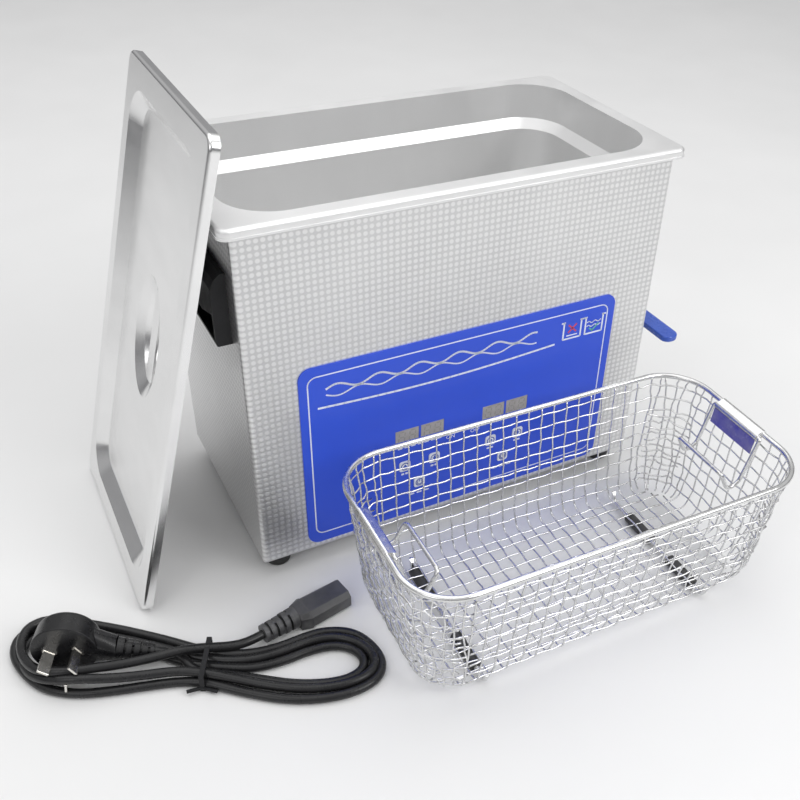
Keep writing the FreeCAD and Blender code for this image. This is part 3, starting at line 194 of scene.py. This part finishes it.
MAT = {
    "case_steel": embossed("case_steel_look"),
    "back_steel": mat("back_steel_look", (0.56, 0.57, 0.58), (0.66, 0.66, 0.67), 1.0, (0.30, 0.42), 25, (1, 30, 30), (0.12, 0.0001, 500), aniso=1),
    "tank_steel": mat("tank_steel_look", (0.84, 0.84, 0.84), (0.89, 0.89, 0.89), 1.0, (0.46, 0.56), 14, (1, 1, 0.35), (0.06, 0.0002, 260)),
    "lid_steel": mat("lid_steel_look", (0.80, 0.80, 0.80), (0.86, 0.86, 0.86), 1.0, (0.18, 0.25), 10, (3, 1, 3), (0.035, 0.0001, 500)),
    "wire_steel": mat("wire_steel_look", (0.66, 0.66, 0.66), (0.80, 0.80, 0.80), 1.0, (0.16, 0.30), 120, (1, 1, 1), (0.12, 0.0002, 500)),
    "zinc_screw": mat("zinc_screw_look", (0.50, 0.50, 0.47), (0.66, 0.66, 0.63), 1.0, (0.28, 0.40), 160),
    "plain_steel": mat("plain_steel_look", (0.44, 0.44, 0.45), (0.56, 0.56, 0.57), 1.0, (0.30, 0.45), 60, (1, 1, 20)),
    "aluminium": mat("aluminium_look", (0.66, 0.67, 0.69), (0.76, 0.77, 0.79), 1.0, (0.28, 0.40), 60, (1, 1, 20)),
    "brass": mat("brass_look", (0.62, 0.46, 0.20), (0.76, 0.60, 0.32), 1.0, (0.22, 0.36), 80),
    "plated_brass": mat("plated_brass_look", (0.70, 0.68, 0.63), (0.84, 0.82, 0.78), 1.0, (0.14, 0.26), 90),
    "panel_blue": mat("panel_blue_look", (0.018, 0.075, 0.66), (0.024, 0.090, 0.72), 0.0, (0.30, 0.40), 10, (1, 1, 1), (0.06, 0.0001, 700), coat=0.08),
    "key_white": mat("key_white_look", (0.80, 0.83, 0.90), (0.88, 0.90, 0.95), 0.0, (0.25, 0.35), 120, coat=0.2, bs=(0.04, 0.0001, 900)),
    "display_grey": mat("display_grey_look", (0.33, 0.315, 0.30), (0.39, 0.375, 0.36), 0.0, (0.14, 0.22), 140, coat=0.5, bs=(0.03, 0.0001, 700)),
    "segment_grey": mat("segment_grey_look", (0.27, 0.255, 0.24), (0.31, 0.295, 0.28), 0.0, (0.2, 0.3), 300, coat=0.4, bs=(0.03, 0.0001, 700)),
    "black_plastic": mat("black_plastic_look", (0.008, 0.008, 0.009), (0.016, 0.016, 0.018), 0.0, (0.40, 0.52), 60, bs=(0.22, 0.0002, 1500), edge_highlight=0.12, spec=0.16),
    "grey_plastic": mat("grey_plastic_look", (0.30, 0.30, 0.31), (0.38, 0.38, 0.39), 0.0, (0.4, 0.5), 80),
    "black_rubber": mat("black_rubber_look", (0.012, 0.012, 0.012), (0.026, 0.026, 0.026), 0.0, (0.52, 0.66), 150, bs=(0.3, 0.0003, 1300), edge_highlight=0.2),
    "black_pvc": mat("black_pvc_look", (0.006, 0.006, 0.007), (0.013, 0.013, 0.014), 0.0, (0.24, 0.34), 90, bs=(0.2, 0.0002, 700), edge_highlight=0.12, spec=0.4),
    "connector_pvc": mat("connector_pvc_look", (0.050, 0.050, 0.053), (0.072, 0.072, 0.075), 0.0, (0.38, 0.5), 120, bs=(0.25, 0.0002, 1200), edge_highlight=0.3),
    "blue_vinyl": mat("blue_vinyl_look", (0.026, 0.085, 0.48), (0.040, 0.115, 0.56), 0.0, (0.22, 0.34), 70, coat=0.3, bs=(0.12, 0.0003, 160), edge_highlight=0.2),
    "blue_film": mat("blue_film_look", (0.085, 0.075, 0.42), (0.22, 0.21, 0.45), 0.0, (0.18, 0.3), 90, coat=0.4, bs=(0.3, 0.0004, 120)),
    "board_green": mat("board_green_look", (0.02, 0.16, 0.06), (0.04, 0.25, 0.10), 0.0, (0.3, 0.45), 300),
    "piezo_grey": mat("piezo_grey_look", (0.38, 0.34, 0.28), (0.48, 0.43, 0.36), 0.2, (0.3, 0.5), 120),
    "ferrite": mat("ferrite_look", (0.05, 0.05, 0.055), (0.09, 0.09, 0.10), 0.1, (0.5, 0.7), 200),
    "silicone_orange": mat("silicone_orange_look", (0.62, 0.20, 0.06), (0.78, 0.28, 0.09), 0.0, (0.45, 0.6), 60),
    "print_white": mat("print_white_look", (0.74, 0.78, 0.90), (0.86, 0.89, 0.97), 0.0, (0.3, 0.4), 200, bs=(0.05, 0.0001, 900)),
    "print_blue": mat("print_blue_look", (0.030, 0.085, 0.50), (0.040, 0.105, 0.58), 0.0, (0.3, 0.4), 200, bs=(0.05, 0.0001, 900)),
    "print_red": mat("print_red_look", (0.55, 0.05, 0.10), (0.68, 0.08, 0.14), 0.0, (0.3, 0.4), 200, bs=(0.05, 0.0001, 900)),
    "print_green": mat("print_green_look", (0.10, 0.42, 0.30), (0.15, 0.52, 0.38), 0.0, (0.3, 0.4), 200, bs=(0.05, 0.0001, 900)),
}
slot_of = {s["node"]: s["material_slot"] for s in frame["record"]["subparts"]}
special = {"back_panel": "back_steel", "bottom_plate": "back_steel", "lead_connector": "connector_pvc"}
for name, o in N.items():
    m = MAT[special.get(name, slot_of[name])]
    if len(o.material_slots):
        for s in o.material_slots:
            s.material = m
    else:
        o.data.materials.append(m)


# ---------------------------------------------------------------- helpers
def add_mesh(name, verts, faces, material, body, smooth=False):
    me = bpy.data.meshes.new(name)
    me.from_pydata([tuple(v) for v in verts], [], faces)
    me.validate()
    bm = bmesh.new()
    bm.from_mesh(me)
    bmesh.ops.recalc_face_normals(bm, faces=bm.faces)
    bm.to_mesh(me)
    bm.free()
    me.materials.append(MAT[material])
    for f in me.polygons:
        f.use_smooth = smooth
    o = bpy.data.objects.new(name, me)
    bpy.context.scene.collection.objects.link(o)
    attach(o, body)
    return o


def tubes(paths, radius, sides=6):
    """Verts and faces of round wires along lists of points in metres."""
    V, Fc = [], []
    for pts in paths:
        n0 = len(V)
        prev = None
        for i, p in enumerate(pts):
            a = pts[max(i - 1, 0)]
            b = pts[min(i + 1, len(pts) - 1)]
            t = (b - a).normalized()
            if prev is None:
                ref = Vector((0, 0, 1)) if abs(t.z) < 0.9 else Vector((1, 0, 0))
                prev = t.cross(ref).normalized()
            n = (prev - t * prev.dot(t)).normalized()
            prev = n
            bt = t.cross(n)
            for k in range(sides):
                w = 2 * math.pi * k / sides
                V.append(p + (n * math.cos(w) + bt * math.sin(w)) * radius)
        m = len(pts)
        for i in range(m - 1):
            for k in range(sides):
                k2 = (k + 1) % sides
                Fc.append((n0 + i * sides + k, n0 + i * sides + k2, n0 + (i + 1) * sides + k2, n0 + (i + 1) * sides + k))
        Fc.append(tuple(n0 + k for k in range(sides))[::-1])
        Fc.append(tuple(n0 + (m - 1) * sides + k for k in range(sides)))
    return V, Fc


def prints(name, outlines, y, material, body, thick=0.05):
    """Thin printed shapes on a face that looks along -y: outlines are lists of (x, z) in mm."""
    V, Fc = [], []
    for ol in outlines:
        n0, m = len(V), len(ol)
        for yy in (y, y + thick):
            for x, z in ol:
                V.append(F(x, yy, z))
        Fc.append(tuple(range(n0, n0 + m)))
        Fc.append(tuple(range(n0 + m, n0 + 2 * m))[::-1])
        for i in range(m):
            j = (i + 1) % m
            Fc.append((n0 + i, n0 + j, n0 + m + j, n0 + m + i))
    return add_mesh(name, V, Fc, material, body)


def stroke(pts, w):
    """Quads of a line of width w along (x, z) points."""
    out = []
    for (x0, z0), (x1, z1) in zip(pts, pts[1:]):
        d = math.hypot(x1 - x0, z1 - z0)
        if d < 1e-6:
            continue
        nx, nz = -(z1 - z0) / d * w / 2, (x1 - x0) / d * w / 2
        ex, ez = (x1 - x0) / d * w * 0.18, (z1 - z0) / d * w * 0.18
        out.append([(x0 + nx - ex, z0 + nz - ez), (x0 - nx - ex, z0 - nz - ez), (x1 - nx + ex, z1 - nz + ez), (x1 + nx + ex, z1 + nz + ez)])
    return out


def disc(cx, cz, r, n=20):
    return [(cx + r * math.cos(2 * math.pi * i / n), cz + r * math.sin(2 * math.pi * i / n)) for i in range(n)]


def round_rect(cx, cz, w, h, r, n=5):
    out = []
    for qx, qz, a0 in ((1, 1, 0), (-1, 1, 90), (-1, -1, 180), (1, -1, 270)):
        for i in range(n + 1):
            a = math.radians(a0 + 90 * i / n)
            out.append((cx + qx * (w / 2 - r) + r * math.cos(a), cz + qz * (h / 2 - r) + r * math.sin(a)))
    return out


# ---------------------------------------------------------------- power lead
ROUTE = [
    (-176.0, -136.2, 7.5), (-186, -138.1, 7.3), (-197, -137.5, 8.2), (-208.5, -134.2, 9.6), (-218, -132.2, 11.6), (-228, -130.4, 13.0), (-243, -128.4, 12.6),
    (-262, -125.6, 13.2), (-280, -122.5, 15.6), (-297, -118.5, 17.4), (-309.5, -110.5, 15.6), (-315.5, -98.5, 12.0), (-318.2, -84, 9.2), (-316, -71.5, 8.8),
    (-310, -63.0, 8.2), (-298, -60.0, 6.5), (-282, -68.5, 4.2), (-262.4, -83.0, 3.2), (-247.2, -96.3, 3.2), (-231, -111.5, 3.2), (-220.5, -122.5, 3.3),
    (-210.7, -131.5, 3.5), (-200, -138.9, 3.4), (-187, -144.9, 3.2), (-170, -147.8, 3.2), (-154, -147.2, 3.2), (-138, -148.0, 3.2), (-121.5, -157.0, 3.2),
    (-114.2, -173.0, 3.2), (-113.4, -188.5, 3.2), (-121, -199.4, 3.2), (-137, -202.8, 3.2), (-157, -199.4, 3.2), (-178, -189.8, 3.2), (-196, -176, 3.2), (-210, -163.5, 3.3),
    (-221, -153, 3.5), (-235, -145.8, 3.2), (-251, -140.8, 3.2), (-272, -135.0, 3.2), (-293, -127.4, 3.2), (-309.5, -115, 3.2), (-318, -99.5, 3.2),
    (-322.8, -82, 3.2), (-320.8, -69, 3.2), (-312.5, -61.6, 3.2), (-302, -64.5, 3.2), (-284, -78.2, 3.2), (-266, -89.4, 3.2), (-251, -101.9, 3.2),
    (-235.5, -116.1, 3.2), (-224, -127.9, 3.3), (-213.3, -136.9, 3.5), (-202, -143.9, 3.6), (-188, -150.7, 4.4), (-170, -153.6, 5.2), (-152, -153.2, 5.4),
    (-136, -156.0, 5.4), (-124, -165.5, 5.4), (-117.4, -179, 5.4), (-119.4, -191.5, 5.4), (-131, -197.0, 5.4), (-150, -194.9, 5.4), (-171, -186.2, 5.4),
    (-190, -172.5, 5.6), (-206, -160.0, 7.2), (-219.7, -150.2, 8.9), (-234, -142.2, 9.2), (-251, -137.0, 9.2), (-272, -131.4, 11.0), (-292, -125.4, 15.2),
    (-306.5, -116.5, 12.0), (-315.5, -103.5, 7.0), (-319.3, -88, 3.6), (-317.2, -75.8, 3.2), (-309.5, -68.8, 3.2), (-298, -72.4, 3.2), (-284, -85.0, 3.2),
    (-267, -95.4, 3.2), (-252, -107.6, 3.2), (-238.5, -121.0, 3.2), (-227, -133.2, 3.3), (-215.9, -142.4, 3.5), (-203, -149.7, 3.3), (-189, -157.0, 3.2),
    (-171, -159.8, 3.2), (-154, -159.0, 3.2), (-139, -161.2, 3.2), (-128, -168.0, 3.2), (-123, -179.0, 3.2), (-126.6, -188.6, 3.2), (-138, -192.0, 3.2),
    (-153, -188.8, 3.2), (-171, -180.3, 3.2), (-189, -167.0, 3.2), (-204, -155.7, 3.3), (-218.2, -147.2, 3.5), (-225.0, -139.0, 3.8), (-227.5, -129.8, 5.4),
    (-234.2, -123.6, 7.5), (-242.9, -119.9, 9.5)]
cu = bpy.data.curves.new("power_cord", "CURVE")
cu.dimensions = "3D"
sp = cu.splines.new("NURBS")
sp.points.add(len(ROUTE) - 1)
for p, q in zip(sp.points, ROUTE):
    p.co = (*F(*q), 1.0)
sp.order_u = 3
sp.use_endpoint_u = True
sp.resolution_u = 6
cu.bevel_depth = 0.0031
cu.bevel_resolution = 4
cu.use_fill_caps = True
cu.materials.append(MAT["black_pvc"])
cord = bpy.data.objects.new("power_cord", cu)
bpy.context.scene.collection.objects.link(cord)
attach(cord, "cleaner")
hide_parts("lead_hank")

# ---------------------------------------------------------------- woven basket
rnd = random.Random(7)
YAW = math.radians(-1.35)
BX, BY = 28.5, -179.5
PITCH, AMP = 10.5, 0.55
STATIONS = [(104.6, 283.4, 139.4, 33.0), (26.0, 267.0, 123.0, 27.5), (15.5, 262.0, 118.0, 26.5), (11.0, 256.5, 112.5, 23.5), (9.2, 249.0, 105.0, 20.0)]


def bw(x, y, z):
    return F(BX + x * math.cos(YAW) - y * math.sin(YAW), BY + x * math.sin(YAW) + y * math.cos(YAW), z)


def section(z):
    """Half length, half width and corner radius of the basket at a height."""
    for (z0, l0, w0, r0), (z1, l1, w1, r1) in zip(STATIONS, STATIONS[1:]):
        if z >= z1:
            t = min(1.0, (z0 - z) / (z0 - z1))
            t = max(0.0, t)
            return (l0 + (l1 - l0) * t) / 2, (w0 + (w1 - w0) * t) / 2, r0 + (r1 - r0) * t
    return STATIONS[-1][1] / 2, STATIONS[-1][2] / 2, STATIONS[-1][3]


def wob(a=0.25):
    return rnd.uniform(-a, a)


ZS = [104.6, 101.5, 98.5, 93.2, 88.0, 82.7, 77.5, 72.2, 67.0, 61.7, 56.5, 51.2, 46.0, 40.7, 35.5, 30.2, 25.0, 20.5, 16.0, 13.0, 11.0, 9.6]
RINGS = [98.5, 88.0, 77.5, 67.0, 56.5, 46.0, 35.5, 25.0, 15.6]


def zphase(z):
    return math.pi * (98.5 - z) / PITCH


wires = []
for i in range(-10, 11):                       # wires across the floor and up both long walls
    x, drift = i * PITCH - 3.0, [wob(0.5), wob(0.5)]
    pts = []
    for s in (-1, 1):
        side = []
        for z in ZS:
            a, b, R = section(z)
            off = -AMP * math.cos(zphase(z) + math.pi * i)
            side.append(bw(x + drift[0 if s < 0 else 1] * math.sin(z / 30.0) + wob(0.12), s * (b + off), z))
        floor = []
        b0 = section(9.2)[1] - 2.0
        k = int(2 * b0 / (PITCH / 2))
        if s < 0:
            pts += side
            for j in range(1, k):
                y = -b0 + 2 * b0 * j / k
                floor.append(bw(x + wob(0.15), y, 9.2 + AMP * math.cos(math.pi * y / PITCH + math.pi * i)))
            pts += floor
        else:
            pts += side[::-1]
    wires.append(pts)
for j in range(-3, 4):                         # wires along the floor and up both short walls
    y, drift = j * PITCH, [wob(0.5), wob(0.5)]
    pts = []
    for s in (-1, 1):
        side = []
        for z in ZS:
            a, b, R = section(z)
            off = -AMP * math.cos(zphase(z) + math.pi * j)
            side.append(bw(s * (a + off), y + drift[0 if s < 0 else 1] * math.sin(z / 30.0) + wob(0.12), z))
        if s < 0:
            pts += side
            a0 = section(9.2)[0] - 2.0
            k = int(2 * a0 / (PITCH / 2))
            for i in range(1, k):
                x = -a0 + 2 * a0 * i / k
                pts.append(bw(x, y + wob(0.15), 9.2 - AMP * math.cos(math.pi * x / PITCH + math.pi * j)))
        else:
            pts += side[::-1]
    wires.append(pts)
for s in (-1, 1):                              # outermost floor wires, cut off by the corners
    for y in (41.5, 49.0):
        half = section(9.2)[0] - (6.0 if y < 45 else 13.0)
        k = int(2 * half / 5.25)
        wires.append([bw(-half + 2 * half * i / k, s * y + wob(0.3), 9.2 + 0.5 * math.cos(math.pi * i / 2)) for i in range(k + 1)])
    for x in (114.5, 121.0):
        half = section(9.2)[1] - (7.0 if x < 118 else 14.0)
        k = int(2 * half / 5.25)
        wires.append([bw(s * x + wob(0.3), -half + 2 * half * i / k, 9.2 - 0.5 * math.cos(math.pi * i / 2)) for i in range(k + 1)])


def ring_path(z, j, amp=AMP):
    """One horizontal wire right round the basket, wavy and a little crumpled at the corners."""
    a, b, R = section(z)
    pts = []
    step = PITCH / 2
    def straight(x0, y0, x1, y1, nx, ny, along):
        L = math.hypot(x1 - x0, y1 - y0)
        k = max(2, int(round(L / step)))
        for i in range(k):
            t = i / k
            x, y = x0 + (x1 - x0) * t, y0 + (y1 - y0) * t
            c = x if along == "x" else y
            o = amp * math.cos(math.pi * c / PITCH + math.pi * j)
            pts.append(bw(x + nx * o, y + ny * o, z + wob(0.12) + 0.5 * math.sin(c / 31.0 + j)))
    def corner(qx, qy, a0):
        k = 12
        for i in range(k):
            t = math.radians(a0 + 90 * i / k)
            bulge = math.sin(math.pi * i / k)
            r = R + amp * math.cos(i * 1.7 + j) + bulge * wob(0.9)
            pts.append(bw(qx * (a - R) + r * math.cos(t), qy * (b - R) + r * math.sin(t), z + bulge * (wob(1.0) + 0.8 * math.sin(i * 1.3 + j * 2.1))))
    straight(-(a - R), -b, a - R, -b, 0, -1, "x")
    corner(1, -1, -90)
    straight(a, -(b - R), a, b - R, 1, 0, "y")
    corner(1, 1, 0)
    straight(a - R, b, -(a - R), b, 0, 1, "x")
    corner(-1, 1, 90)
    straight(-a, b - R, -a, -(b - R), -1, 0, "y")
    corner(-1, -1, 180)
    pts.append(pts[0])
    return pts


for j, z in enumerate(RINGS):
    wires.append(ring_path(z, j))
for qx, qy, a0 in ((1, 1, 0), (-1, 1, 90), (-1, -1, 180), (1, -1, 270)):
    for k in range(7):                         # crowded upright wires at each corner
        t0 = math.radians(a0 + 8 + 74 * k / 6)
        ph, lean = wob(3.0), wob(0.10)
        pts = []
        for z in ZS:
            a, b, R = section(z)
            d = 1.0 - z / 105.0
            t = t0 + lean * math.sin(z / 17.0 + ph) + wob(0.02)
            r = R + 0.8 * math.sin(z / 4.6 + ph * 2) * (0.5 + d) - 0.6 * d
            pts.append(bw(qx * (a - R) + r * math.cos(t), qy * (b - R) + r * math.sin(t), z))
        wires.append(pts)
    for k in range(6):                         # folded-in slack of the cloth between the rows
        z0 = 20.5 + k * 10.5 + wob(0.8)
        c0, c1 = 14 + wob(6), 76 + wob(6)
        pts = []
        for i in range(11):
            a, b, R = section(z0)
            t = math.radians(a0 + c0 + (c1 - c0) * i / 10)
            r = R - 1.5 * math.sin(math.pi * i / 10) + wob(0.5)
            pts.append(bw(qx * (a - R) + r * math.cos(t), qy * (b - R) + r * math.sin(t), z0 + wob(0.9) + 1.4 * math.sin(i * 0.9 + k)))
        wires.append(pts)
V, Fc = tubes(wires, 0.00063, 6)
mesh_piece = add_mesh("basket_wires", V, Fc, "wire_steel", "basket", smooth=True)
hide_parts("basket_mesh")

# blue protective film left on the right handle plate
src = N["handle_plates"].data
lim = F(BX + 100, 0, 0).x
zlo = min(v.co.z for v in src.vertices)
V, Fc = [], []
for f in src.polygons:
    if f.center.x > lim and f.normal.x < -0.5 and f.center.z < 0.1032:
        n0 = len(V)
        for vi in f.vertices:
            V.append(src.vertices[vi].co + f.normal * 0.00012)
        Fc.append(tuple(range(n0, n0 + len(f.vertices))))
if V:
    film = add_mesh("plate_film", V, Fc, "blue_film", "basket")

# ---------------------------------------------------------------- panel print
PY = -83.8 - 0.05
white, blue = [], []
fr = round_rect(0, 94.3, 232.8, 132.6, 6.0, 6)
white += stroke(fr + [fr[0]], 0.9)
line = [(-110 + 182 * i / 30.0, 136.0 - 3.4 * math.sin(math.pi * i / 30.0) + (1.0 * i / 30.0)) for i in range(31)]
white += stroke(line, 1.5)
for row, (zz, amp, w) in enumerate(((149.5, 2.4, 1.5), (144.6, 2.0, 1.1))):   # plain wave band
    white += stroke([(-104 + i * 2.0, zz + amp * math.sin((i + 7 * row) * 0.42)) for i in range(81)], w)
for cx, bad in ((86.5, True), (105.5, False)):  # two plain tub pictures
    white += stroke([(cx - 7.5, 153), (cx - 7.5, 139), (cx + 7.5, 139), (cx + 7.5, 153)], 1.3)
    white += stroke([(cx - 9.6, 153), (cx - 6.6, 153)], 1.3) + stroke([(cx + 6.6, 153), (cx + 9.6, 153)], 1.3)
    if not bad:
        for zz in (148.5, 145.2):
            white += stroke([(cx - 6.2 + i * 0.8, zz + 0.7 * math.sin(i * 0.9)) for i in range(16)], 0.8)
    else:
        white += stroke([(cx - 4.5, 141.6), (cx + 4.5, 141.6)], 0.9)
prints("print_red_cross", stroke([(83.2, 150.4), (89.8, 144.2)], 1.3) + stroke([(83.2, 144.2), (89.8, 150.4)], 1.3), PY - 0.03, "print_red", "cleaner")
prints("print_green_tick", stroke([(101.8, 143.4), (104.4, 141.0), (109.4, 146.2)], 1.2), PY - 0.03, "print_green", "cleaner")
for cx in (-35.6, 34.9):                        # rows of small plain marks
    for k in range(7):
        white.append(round_rect(cx - 15.6 + 5.2 * k, 83.0, 3.6, 1.7, 0.5, 2))
    for k in range(3):
        white.append(round_rect(cx - 6.0 + 6.0 * k, 37.6, 4.2, 1.3, 0.5, 2))
KEYS = {"timer_up": (-47.5, 66.0), "timer_down": (-23.8, 66.0), "timer_run": (-35.6, 47.5), "heat_up": (23.3, 66.0), "heat_down": (46.7, 66.0), "heat_run": (34.9, 47.5)}
for k, (x, z) in KEYS.items():
    if not k.endswith("run"):
        white.append(round_rect(x - 1.6, z - 7.0, 2.4, 1.6, 0.4, 2))
        white.append(round_rect(x + 1.6, z - 7.0, 2.4, 1.6, 0.4, 2))
prints("panel_print", white, PY, "print_white", "cleaner")


def word(name, text, cx, cz, size, y, material, body):
    c = bpy.data.curves.new(name + "_c", "FONT")
    c.body, c.size, c.align_x, c.align_y, c.extrude = text, size / 1000.0, "CENTER", "CENTER", 0.00002
    o = bpy.data.objects.new(name + "_t", c)
    me = bpy.data.meshes.new_from_object(o)
    bpy.data.objects.remove(o)
    me.transform(Matrix.Translation(F(cx, y, cz)) @ Matrix.Rotation(math.radians(90), 4, "X"))
    me.materials.clear()
    me.materials.append(MAT[material])
    p = bpy.data.objects.new(name, me)
    bpy.context.scene.collection.objects.link(p)
    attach(p, body)


word("word_on", "ON", -10.9, 80.6, 4.6, PY, "print_white", "cleaner")
word("word_off", "OFF", 9.4, 80.2, 4.6, PY, "print_white", "cleaner")

# key marks: a round blue field with a white sign
KY = -84.35 - 0.05
for k, (x, z) in KEYS.items():
    body = "press_" + k
    ring = disc(x, z, 2.95, 28)
    prints("key_ring_" + k, stroke(ring + [ring[0]], 0.75), KY, "print_blue", body)
    if k.endswith("up"):
        sign = [[(x - 1.9, z - 0.6), (x, z + 2.0), (x + 1.9, z - 0.6)], [(x - 0.65, z - 2.1), (x - 0.65, z - 0.5), (x + 0.65, z - 0.5), (x + 0.65, z - 2.1)]]
    elif k.endswith("down"):
        sign = [[(x - 1.9, z + 0.6), (x, z - 2.0), (x + 1.9, z + 0.6)], [(x - 0.65, z + 2.1), (x - 0.65, z + 0.5), (x + 0.65, z + 0.5), (x + 0.65, z + 2.1)]]
    else:
        arc = [(x + 1.9 * math.cos(math.radians(a)), z + 1.9 * math.sin(math.radians(a))) for a in range(125, 416, 18)]
        sign = stroke(arc, 0.65) + [[(x - 0.35, z + 0.3), (x - 0.35, z + 2.5), (x + 0.35, z + 2.5), (x + 0.35, z + 0.3)]]
    prints("key_sign_" + k, sign, KY, "print_blue", body, 0.04)

# unlit digits behind the windows
DY = -83.65 - 0.04
segs = []
for cx in (-45.7, -25.8, 24.1, 43.9):
    for dx in (-4.1, 4.1):
        X, Z, w, h = cx + dx, 92.5, 4.4, 8.6
        sl = 0.10
        def q(x, z):
            return (X + x + sl * z, Z + z)
        def bar(x0, z0, x1, z1, t=0.85):
            if abs(x1 - x0) > abs(z1 - z0):
                return [q(x0 + t * .6, z0), q(x0 + t, z0 + t / 2), q(x1 - t, z0 + t / 2), q(x1 - t * .6, z0), q(x1 - t, z0 - t / 2), q(x0 + t, z0 - t / 2)]
            return [q(x0, z0 + t * .6), q(x0 - t / 2, z0 + t), q(x0 - t / 2, z1 - t), q(x0, z1 - t * .6), q(x0 + t / 2, z1 - t), q(x0 + t / 2, z0 + t)]
        a, b = w / 2, h / 2
        segs += [bar(-a, b, a, b), bar(-a, 0, a, 0), bar(-a, -b, a, -b), bar(-a, 0, -a, b), bar(a, 0, a, b), bar(-a, -b, -a, 0), bar(a, -b, a, 0)]
        segs.append(disc(X + w / 2 + 1.0 - 0.3, Z - h / 2, 0.45, 10))
prints("digit_segments", segs, DY, "segment_grey", "cleaner", 0.03)

# ---------------------------------------------------------------- floor and light
me = bpy.data.meshes.new("floor")
bm = bmesh.new()
bmesh.ops.create_grid(bm, x_segments=8, y_segments=8, size=4.0)
bm.to_mesh(me)
bm.free()
floor = bpy.data.objects.new("floor", me)
bpy.context.scene.collection.objects.link(floor)
m, nt, p = new_mat("floor_look")
obj, st = coords(nt)
link(nt, mix_col(nt, ranged(nt, noise(nt, obj, 3.0), 0, 1), (0.80, 0.80, 0.80), (0.83, 0.83, 0.83)), p.inputs["Base Color"])
link(nt, ranged(nt, noise(nt, obj, 12.0), 0.55, 0.7), p.inputs["Roughness"])
me.materials.append(m)

world = bpy.data.worlds.new("studio")
world.use_nodes = True
wt = world.node_tree
bg = wt.nodes["Background"]
tc = wt.nodes.new("ShaderNodeTexCoord")
sep = wt.nodes.new("ShaderNodeSeparateXYZ")
wt.links.new(tc.outputs["Generated"], sep.inputs[0])
ramp = wt.nodes.new("ShaderNodeValToRGB")
cr = ramp.color_ramp
cr.elements[0].position, cr.elements[0].color = 0.0, (0.22, 0.22, 0.23, 1)
cr.elements[1].position, cr.elements[1].color = 0.55, (1.0, 1.0, 1.0, 1)
mid = cr.elements.new(0.25)
mid.color = (0.62, 0.62, 0.63, 1)
wt.links.new(sep.outputs[2], ramp.inputs[0])
wt.links.new(ramp.outputs[0], bg.inputs[0])
bg.inputs[1].default_value = 0.62
bpy.context.scene.world = world


def area(name, loc, target, size, power):
    d = bpy.data.lights.new(name, "AREA")
    d.shape, d.size, d.energy = "SQUARE", size, power
    o = bpy.data.objects.new(name, d)
    o.location = loc
    o.rotation_euler = (Vector(target) - Vector(loc)).to_track_quat("-Z", "Y").to_euler()
    bpy.context.scene.collection.objects.link(o)


area("key", (0.75, -1.25, 1.25), (0.0, -0.1, 0.1), 0.9, 13)
area("top", (-0.1, 0.35, 1.7), (0.0, 0.0, 0.1), 2.2, 15)
area("fill", (-1.5, -0.9, 1.1), (-0.1, 0.0, 0.15), 0.8, 3.2)
bpy.context.scene.view_settings.view_transform = "Standard"
